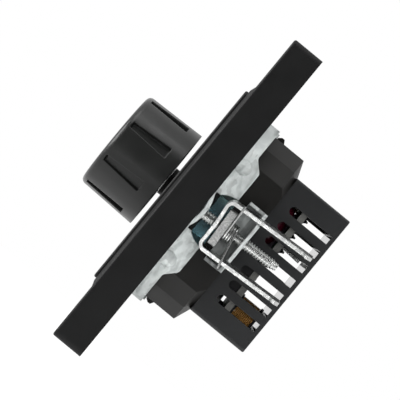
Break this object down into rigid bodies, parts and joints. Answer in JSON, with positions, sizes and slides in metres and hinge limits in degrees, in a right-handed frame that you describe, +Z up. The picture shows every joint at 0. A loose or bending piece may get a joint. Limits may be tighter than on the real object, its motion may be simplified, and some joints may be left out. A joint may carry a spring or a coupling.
{
  "type": "fan speed control switch",
  "caption": "Square flush wall switch with a ribbed knob, steel mounting frame, claws that spread in the wall box, and a slotted case round its circuit board.",
  "frame": {"origin": "centre of the plate on the wall plane, where the mounting frame meets the wall", "axes": "-Y out of the wall towards the knob, +Y into the wall box, +Z up, +X to the right seen from the front"},
  "size_m": [0.086, 0.0556, 0.086],
  "materials": {
    "black_plate": "satin black thermoplastic",
    "black_cover": "satin black thermoplastic",
    "knob_grey": "satin dark grey plastic",
    "housing_black": "moulded black-brown plastic",
    "case_black": "moulded black plastic",
    "zinc_steel": "dull zinc-plated pressed steel",
    "bright_steel": "bright zinc-plated steel",
    "spring_steel": "drawn spring wire",
    "brass_plated": "turned brass",
    "can_steel": "tinned steel",
    "phenolic": "brown laminate with a carbon track",
    "blue_film": "translucent blue plastic",
    "board_green": "glass-fibre board with a cut edge",
    "aluminium": "plain sheet",
    "black_epoxy": "moulded epoxy",
    "red_epoxy": "dipped red lacquer",
    "grey_box": "moulded grey box",
    "beige_lacquer": "lacquered body",
    "ferrite": "sintered ferrite",
    "copper_wire": "lacquered copper wire",
    "clear_glass": "clear glass tube",
    "terminal_grey": "moulded light grey block"
  },
  "bodies": {
    "housing": {"frame_plate": "black_plate", "cover_plate": "black_cover", "control_bushing": "brass_plated", "bushing_washer": "bright_steel", "bushing_nut": "brass_plated", "control_can": "can_steel", "control_track": "phenolic", "mounting_frame": "zinc_steel", "upper_housing": "housing_black", "rear_case": "case_black", "circuit_board": "board_green", "heat_sink": "aluminium", "triac": "black_epoxy", "triac_screw": "bright_steel", "red_capacitor": "red_epoxy", "suppressor_capacitor": "grey_box", "resistors": "beige_lacquer", "diac": "clear_glass", "choke_core": "ferrite", "choke_winding": "copper_wire", "fuse_glass": "clear_glass", "fuse_caps": "bright_steel", "fuse_clips": "bright_steel", "terminal_block": "terminal_grey", "terminal_bars": "brass_plated", "terminal_springs": "spring_steel", "housing_screws": "bright_steel", "case_screws": "bright_steel", "control_leads": "bright_steel", "claw_disc_right": "blue_film", "claw_disc_left": "blue_film"},
    "knob_and_shaft": {"knob": "knob_grey", "control_shaft": "bright_steel", "control_wiper": "brass_plated"},
    "screw_right": {"claw_screw_right": "bright_steel"},
    "nut_right": {"claw_nut_right": "zinc_steel", "claw_spring_right": "spring_steel"},
    "prongs_right": {"claw_right": "bright_steel"},
    "screw_left": {"claw_screw_left": "bright_steel"},
    "nut_left": {"claw_nut_left": "zinc_steel", "claw_spring_left": "spring_steel"},
    "prongs_left": {"claw_left": "bright_steel"}
  },
  "joints": [
    {"name": "knob_turn", "type": "hinge", "parent": "housing", "child": "knob_and_shaft", "pos_m": [0, -0.012, 0], "axis": [0, 1, 0], "range_deg": [0, 300]},
    {"name": "screw_turn_right", "type": "hinge", "parent": "housing", "child": "screw_right", "pos_m": [0.0293, 0.00399, -0.00033], "axis": [0, 0.9985, 0.0541], "range_deg": [0, 1081]},
    {"name": "nut_travel_right", "type": "slide", "parent": "housing", "child": "nut_right", "axis": [0, -0.9985, -0.0541], "range_m": [0, 0.0021]},
    {"name": "claw_swing_right", "type": "hinge", "parent": "nut_right", "child": "prongs_right", "pos_m": [0.0293, 0.00559, -0.00025], "axis": [-0.1045, 0.0538, -0.9931], "range_deg": [0, 9.05], "deforming": ["claw_spring_right"]},
    {"name": "screw_turn_left", "type": "hinge", "parent": "housing", "child": "screw_left", "pos_m": [-0.0293, 0.00399, 0.00033], "axis": [0, 0.9985, -0.0541], "range_deg": [0, 1081]},
    {"name": "nut_travel_left", "type": "slide", "parent": "housing", "child": "nut_left", "axis": [0, -0.9985, 0.0541], "range_m": [0, 0.0021]},
    {"name": "claw_swing_left", "type": "hinge", "parent": "nut_left", "child": "prongs_left", "pos_m": [-0.0293, 0.00559, 0.00025], "axis": [0.1045, 0.0538, 0.9931], "range_deg": [0, 9.05], "deforming": ["claw_spring_left"]}
  ],
  "couplings": [
    {"joint": "screw_turn_right", "follows": "nut_travel_right", "rad_per_m": 8976},
    {"joint": "claw_swing_right", "follows": "nut_travel_right", "rad_per_m": 74.8},
    {"joint": "screw_turn_left", "follows": "nut_travel_left", "rad_per_m": 8976},
    {"joint": "claw_swing_left", "follows": "nut_travel_left", "rad_per_m": 74.8}
  ]
}
